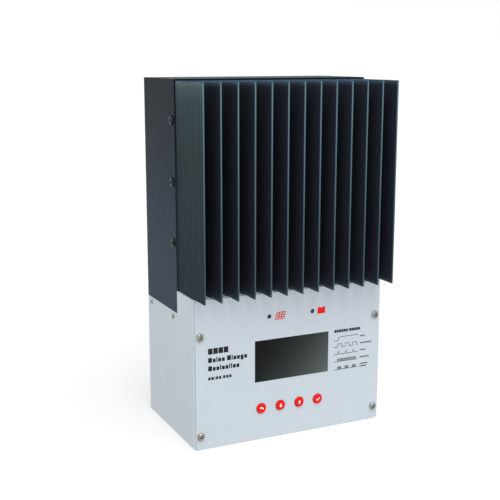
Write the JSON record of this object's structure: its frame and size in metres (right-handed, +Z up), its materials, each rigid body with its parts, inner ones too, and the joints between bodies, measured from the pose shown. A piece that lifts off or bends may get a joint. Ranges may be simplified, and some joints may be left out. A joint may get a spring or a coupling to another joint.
{
  "type": "solar charge controller",
  "caption": "Wall-mounted solar charge controller: finned heat sink on a black chassis above a pale wiring housing with a display, status lamps and push buttons.",
  "frame": {"origin": "centre of the bounding box's floor: the controller stands on its housing floor", "axes": "+Z up along the fins, the front cover faces -Y, the wall is on the +Y side, +X is the right-hand side seen from the front"},
  "size_m": [0.1988, 0.139, 0.33],
  "materials": {
    "chassis_black": "satin",
    "sink_anodised": "anodised satin",
    "housing_pale": "satin",
    "lens_smoked": "gloss",
    "foam": "matt",
    "zinc_steel": "satin",
    "black_steel": "satin",
    "circuit_board": "satin",
    "lcd_film": "gloss",
    "diffuser": "matt",
    "brass": "satin",
    "lamp_dark": "gloss",
    "nylon": "matt",
    "black_plastic": "matt",
    "button_red": "gloss",
    "ribbon_grey": "matt",
    "tinned_metal": "satin",
    "pad_grey": "matt",
    "ferrite": "matt",
    "copper": "satin",
    "sleeve_blue": "gloss",
    "fuse_amber": "gloss",
    "plug_green": "matt"
  },
  "bodies": {
    "enclosure": {"rear_chassis": "chassis_black", "heat_sink": "sink_anodised", "lower_housing": "housing_pale", "front_cover": "housing_pale", "display_lens": "lens_smoked", "lens_gasket": "foam", "cover_screws": "zinc_steel", "cover_nuts": "zinc_steel", "sink_screws": "black_steel", "housing_screws": "zinc_steel", "housing_nuts": "zinc_steel", "display_board": "circuit_board", "display_bezel": "tinned_metal", "display_cell": "lcd_film", "display_backlight": "diffuser", "display_spacers": "brass", "display_screws": "zinc_steel", "status_lamps": "lamp_dark", "lamp_spacers": "nylon", "switch_bodies": "black_plastic", "display_plug": "black_plastic", "ribbon_cable": "ribbon_grey", "board_plug": "black_plastic", "power_board": "circuit_board", "board_spacers": "brass", "board_screws": "zinc_steel", "transistor_cases": "black_plastic", "transistor_leads": "tinned_metal", "thermal_pads": "pad_grey", "clamp_bars": "zinc_steel", "clamp_screws": "zinc_steel", "inductor_cores": "ferrite", "inductor_windings": "copper", "capacitor_cans": "sleeve_blue", "current_shunts": "copper", "aux_transformer": "ferrite", "control_chip": "black_plastic", "fuse_bodies": "fuse_amber", "fuse_holders": "black_plastic", "heat_sensor": "tinned_metal", "terminal_board": "circuit_board", "terminal_spacers": "brass", "terminal_board_screws": "zinc_steel", "terminal_block": "black_plastic", "terminal_clamps": "brass", "terminal_screws": "zinc_steel", "busbars": "copper", "busbar_screws": "zinc_steel", "signal_terminal": "plug_green", "ground_stud": "brass", "ground_nut": "brass"},
    "back_key": {"button_back": "button_red", "plunger_back": "black_plastic"},
    "down_key": {"button_down": "button_red", "plunger_down": "black_plastic"},
    "up_key": {"button_up": "button_red", "plunger_up": "black_plastic"},
    "set_key": {"button_set": "button_red", "plunger_set": "black_plastic"}
  },
  "joints": [
    {"name": "back_press", "type": "slide", "parent": "enclosure", "child": "back_key", "axis": [0, 1, 0], "range_m": [0, 0.0005], "stiffness_N_per_m": 1500, "springref_m": -0.0003},
    {"name": "down_press", "type": "slide", "parent": "enclosure", "child": "down_key", "axis": [0, 1, 0], "range_m": [0, 0.0005], "stiffness_N_per_m": 1500, "springref_m": -0.0003},
    {"name": "up_press", "type": "slide", "parent": "enclosure", "child": "up_key", "axis": [0, 1, 0], "range_m": [0, 0.0005], "stiffness_N_per_m": 1500, "springref_m": -0.0003},
    {"name": "set_press", "type": "slide", "parent": "enclosure", "child": "set_key", "axis": [0, 1, 0], "range_m": [0, 0.0005], "stiffness_N_per_m": 1500, "springref_m": -0.0003}
  ]
}
